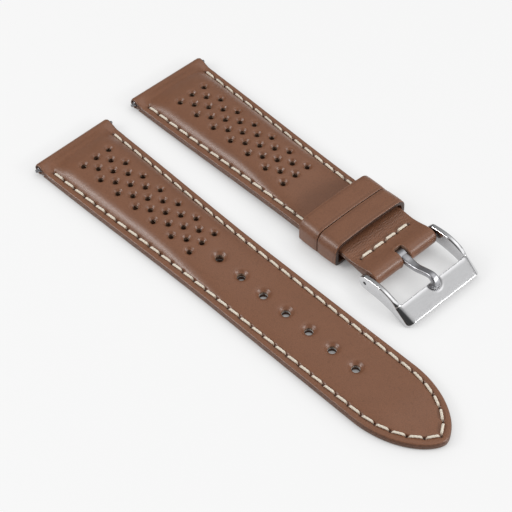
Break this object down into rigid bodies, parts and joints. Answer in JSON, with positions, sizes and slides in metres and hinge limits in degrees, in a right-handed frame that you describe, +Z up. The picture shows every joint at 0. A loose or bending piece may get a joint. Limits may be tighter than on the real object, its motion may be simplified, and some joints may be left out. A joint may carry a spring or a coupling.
{
  "type": "watch strap",
  "caption": "Padded leather rally watch strap in separate halves, with a perforated crown, stitched edges, leather keepers, spring bars and a pin buckle.",
  "frame": {"origin": "middle of the footprint of the pair of strap halves, on the surface that they lie on", "axes": "+X runs along the straps from the watch ends towards the buckle and the pointed tip, +Y towards the buckle half, +Z up from the wrist side to the grain side"},
  "size_m": [0.1198, 0.054, 0.0074],
  "materials": {
    "strap_leather": "satin",
    "lining_leather": "matte",
    "padding": "matte",
    "stay_tape": "matte",
    "thread": "matte",
    "keeper_leather": "satin",
    "bar_steel": "satin",
    "buckle_steel": "satin",
    "tongue_steel": "polished"
  },
  "bodies": {
    "buckle_half": {"short_top_leather": "strap_leather", "short_lining": "lining_leather", "short_padding": "padding", "short_stay_tape": "stay_tape", "short_top_stitches": "thread", "short_under_stitches": "thread", "cross_stitches": "thread", "fixed_keeper": "keeper_leather", "short_bar_tube": "bar_steel", "short_bar_spring": "bar_steel", "buckle_bar_tube": "bar_steel", "buckle_bar_spring": "bar_steel"},
    "loose_keeper": {"loose_keeper": "keeper_leather"},
    "buckle_frame": {"buckle_frame": "buckle_steel"},
    "buckle_tongue": {"buckle_tongue": "tongue_steel"},
    "short_bar_near_tip": {"short_bar_near_tip": "bar_steel"},
    "short_bar_far_tip": {"short_bar_far_tip": "bar_steel"},
    "buckle_bar_near_tip": {"buckle_bar_near_tip": "bar_steel"},
    "buckle_bar_far_tip": {"buckle_bar_far_tip": "bar_steel"},
    "tail_half": {"tail_top_leather": "strap_leather", "tail_lining": "lining_leather", "tail_padding": "padding", "tail_stay_tape": "stay_tape", "tail_top_stitches": "thread", "tail_under_stitches": "thread", "tail_bar_tube": "bar_steel", "tail_bar_spring": "bar_steel"},
    "tail_bar_near_tip": {"tail_bar_near_tip": "bar_steel"},
    "tail_bar_far_tip": {"tail_bar_far_tip": "bar_steel"}
  },
  "joints": [
    {"name": "loose_keeper_slide", "type": "slide", "parent": "buckle_half", "child": "loose_keeper", "axis": [-0.9998, 0, -0.022], "range_m": [0, 0.012]},
    {"name": "buckle_swing", "type": "hinge", "parent": "buckle_half", "child": "buckle_frame", "pos_m": [0.02039, 0.01523, 0.00377], "axis": [0, -1, 0], "range_deg": [-80, 35]},
    {"name": "tongue_swing", "type": "hinge", "parent": "buckle_frame", "child": "buckle_tongue", "pos_m": [0.02039, 0.01523, 0.00377], "axis": [0, -1, 0], "range_deg": [0, 75]},
    {"name": "short_near_tip_press", "type": "slide", "parent": "buckle_half", "child": "short_bar_near_tip", "axis": [0, 1, 0], "range_m": [0, 0.00105], "stiffness_N_per_m": 900, "springref_m": -0.0005},
    {"name": "short_far_tip_press", "type": "slide", "parent": "buckle_half", "child": "short_bar_far_tip", "axis": [0, -1, 0], "range_m": [0, 0.00105], "stiffness_N_per_m": 900, "springref_m": -0.0005},
    {"name": "buckle_near_tip_press", "type": "slide", "parent": "buckle_half", "child": "buckle_bar_near_tip", "axis": [0, 1, 0], "range_m": [0, 0.00105], "stiffness_N_per_m": 900, "springref_m": -0.0005},
    {"name": "buckle_far_tip_press", "type": "slide", "parent": "buckle_half", "child": "buckle_bar_far_tip", "axis": [0, -1, 0], "range_m": [0, 0.00105], "stiffness_N_per_m": 900, "springref_m": -0.0005},
    {"name": "tail_lift", "type": "slide", "parent": "buckle_half", "child": "tail_half", "axis": [0, 0, 1], "range_m": [0, 0.025]},
    {"name": "tail_near_tip_press", "type": "slide", "parent": "tail_half", "child": "tail_bar_near_tip", "axis": [-0.0279, 0.9996, 0], "range_m": [0, 0.00105], "stiffness_N_per_m": 900, "springref_m": -0.0005},
    {"name": "tail_far_tip_press", "type": "slide", "parent": "tail_half", "child": "tail_bar_far_tip", "axis": [0.0279, -0.9996, 0], "range_m": [0, 0.00105], "stiffness_N_per_m": 900, "springref_m": -0.0005}
  ]
}
